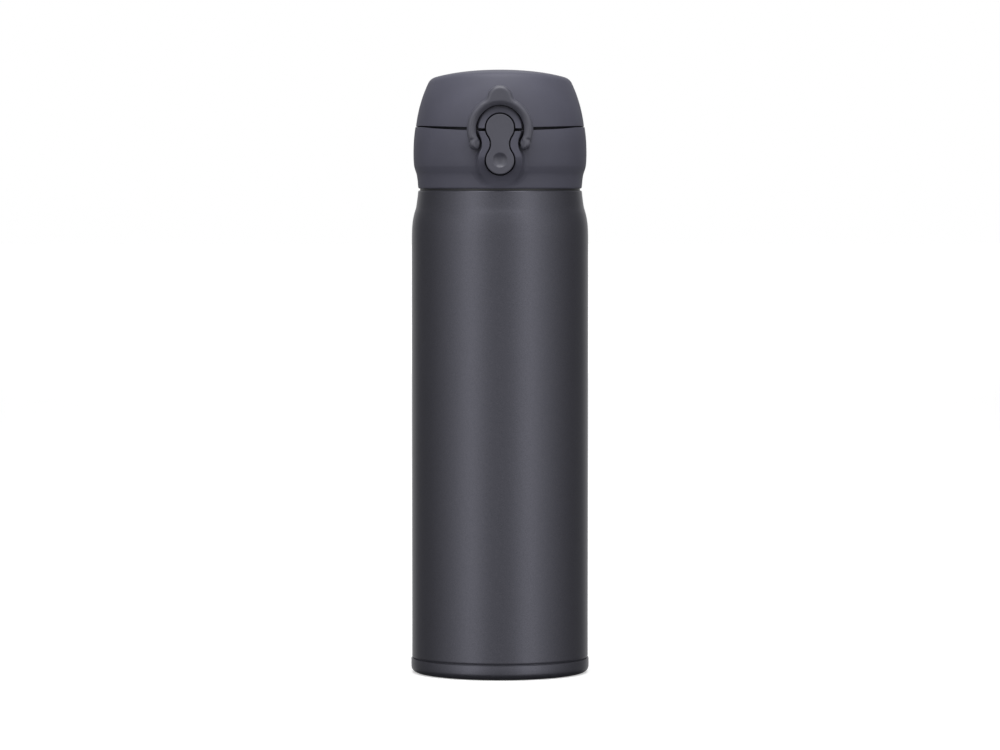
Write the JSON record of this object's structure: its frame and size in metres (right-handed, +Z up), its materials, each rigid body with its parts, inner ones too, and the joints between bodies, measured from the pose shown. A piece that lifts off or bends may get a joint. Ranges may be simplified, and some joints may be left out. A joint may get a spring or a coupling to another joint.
{
  "type": "vacuum flask",
  "caption": "Slim double-walled steel drinking flask with a flip-up one-touch lid, a rocker button and a lock ring.",
  "frame": {"origin": "centre of the footprint on the surface that the flask stands on", "axes": "+Z up along the flask's axis, -Y towards the button and lock ring, +Y towards the lid's hinge, +X to the right seen from the front"},
  "size_m": [0.065, 0.0725, 0.2202],
  "materials": {
    "painted_steel": "fine satin metallic paint, dark grey",
    "bare_steel": "electropolished stainless steel",
    "foil": "bright thin foil",
    "cap_plastic": "moulded polypropylene, matte violet-grey",
    "latch_plastic": "moulded acetal, satin violet-grey",
    "inner_plastic": "moulded polypropylene, smooth dark grey",
    "silicone": "soft translucent grey silicone",
    "spring_steel": "bright drawn stainless wire"
  },
  "bodies": {
    "bottle": {"outer_shell": "painted_steel", "outer_base": "painted_steel", "inner_vessel": "bare_steel", "inner_base": "bare_steel", "getter": "bare_steel", "evacuation_seal": "bare_steel", "radiation_foil": "foil"},
    "gasket": {"stopper_gasket": "silicone"},
    "stopper": {"stopper_cover": "cap_plastic", "spout_insert": "inner_plastic", "hinge_pin": "spring_steel", "button_pin": "spring_steel", "lid_spring": "spring_steel", "button_spring": "spring_steel"},
    "button": {"open_button": "latch_plastic"},
    "ring": {"lock_ring": "latch_plastic"},
    "lid": {"lid_shell": "cap_plastic", "lid_liner": "inner_plastic", "lid_gasket": "silicone"}
  },
  "joints": [
    {"name": "stopper_lift", "type": "slide", "parent": "bottle", "child": "gasket", "axis": [0, 0, 1], "range_m": [0, 0.019]},
    {"name": "stopper_turn", "type": "hinge", "parent": "gasket", "child": "stopper", "pos_m": [0, 0, 0.165], "axis": [0, 0, 1], "range_deg": [0, 760]},
    {"name": "lid_hinge", "type": "hinge", "parent": "stopper", "child": "lid", "pos_m": [0, 0.0335, 0.19945], "axis": [-1, 0, 0], "range_deg": [0, 115], "deforming": ["lid_spring"]},
    {"name": "ring_hinge", "type": "hinge", "parent": "stopper", "child": "ring", "pos_m": [0, -0.0331, 0.19287], "axis": [1, 0, 0], "range_deg": [0, 110]},
    {"name": "button_rocker", "type": "hinge", "parent": "stopper", "child": "button", "pos_m": [0, -0.0322, 0.19287], "axis": [1, 0, 0], "range_deg": [0, 7], "stiffness_Nm_per_rad": 0.05, "springref_deg": -5.73, "deforming": ["button_spring"]}
  ],
  "couplings": [
    {"joint": "stopper_lift", "follows": "stopper_turn", "m_per_rad": 0.0014324}
  ]
}
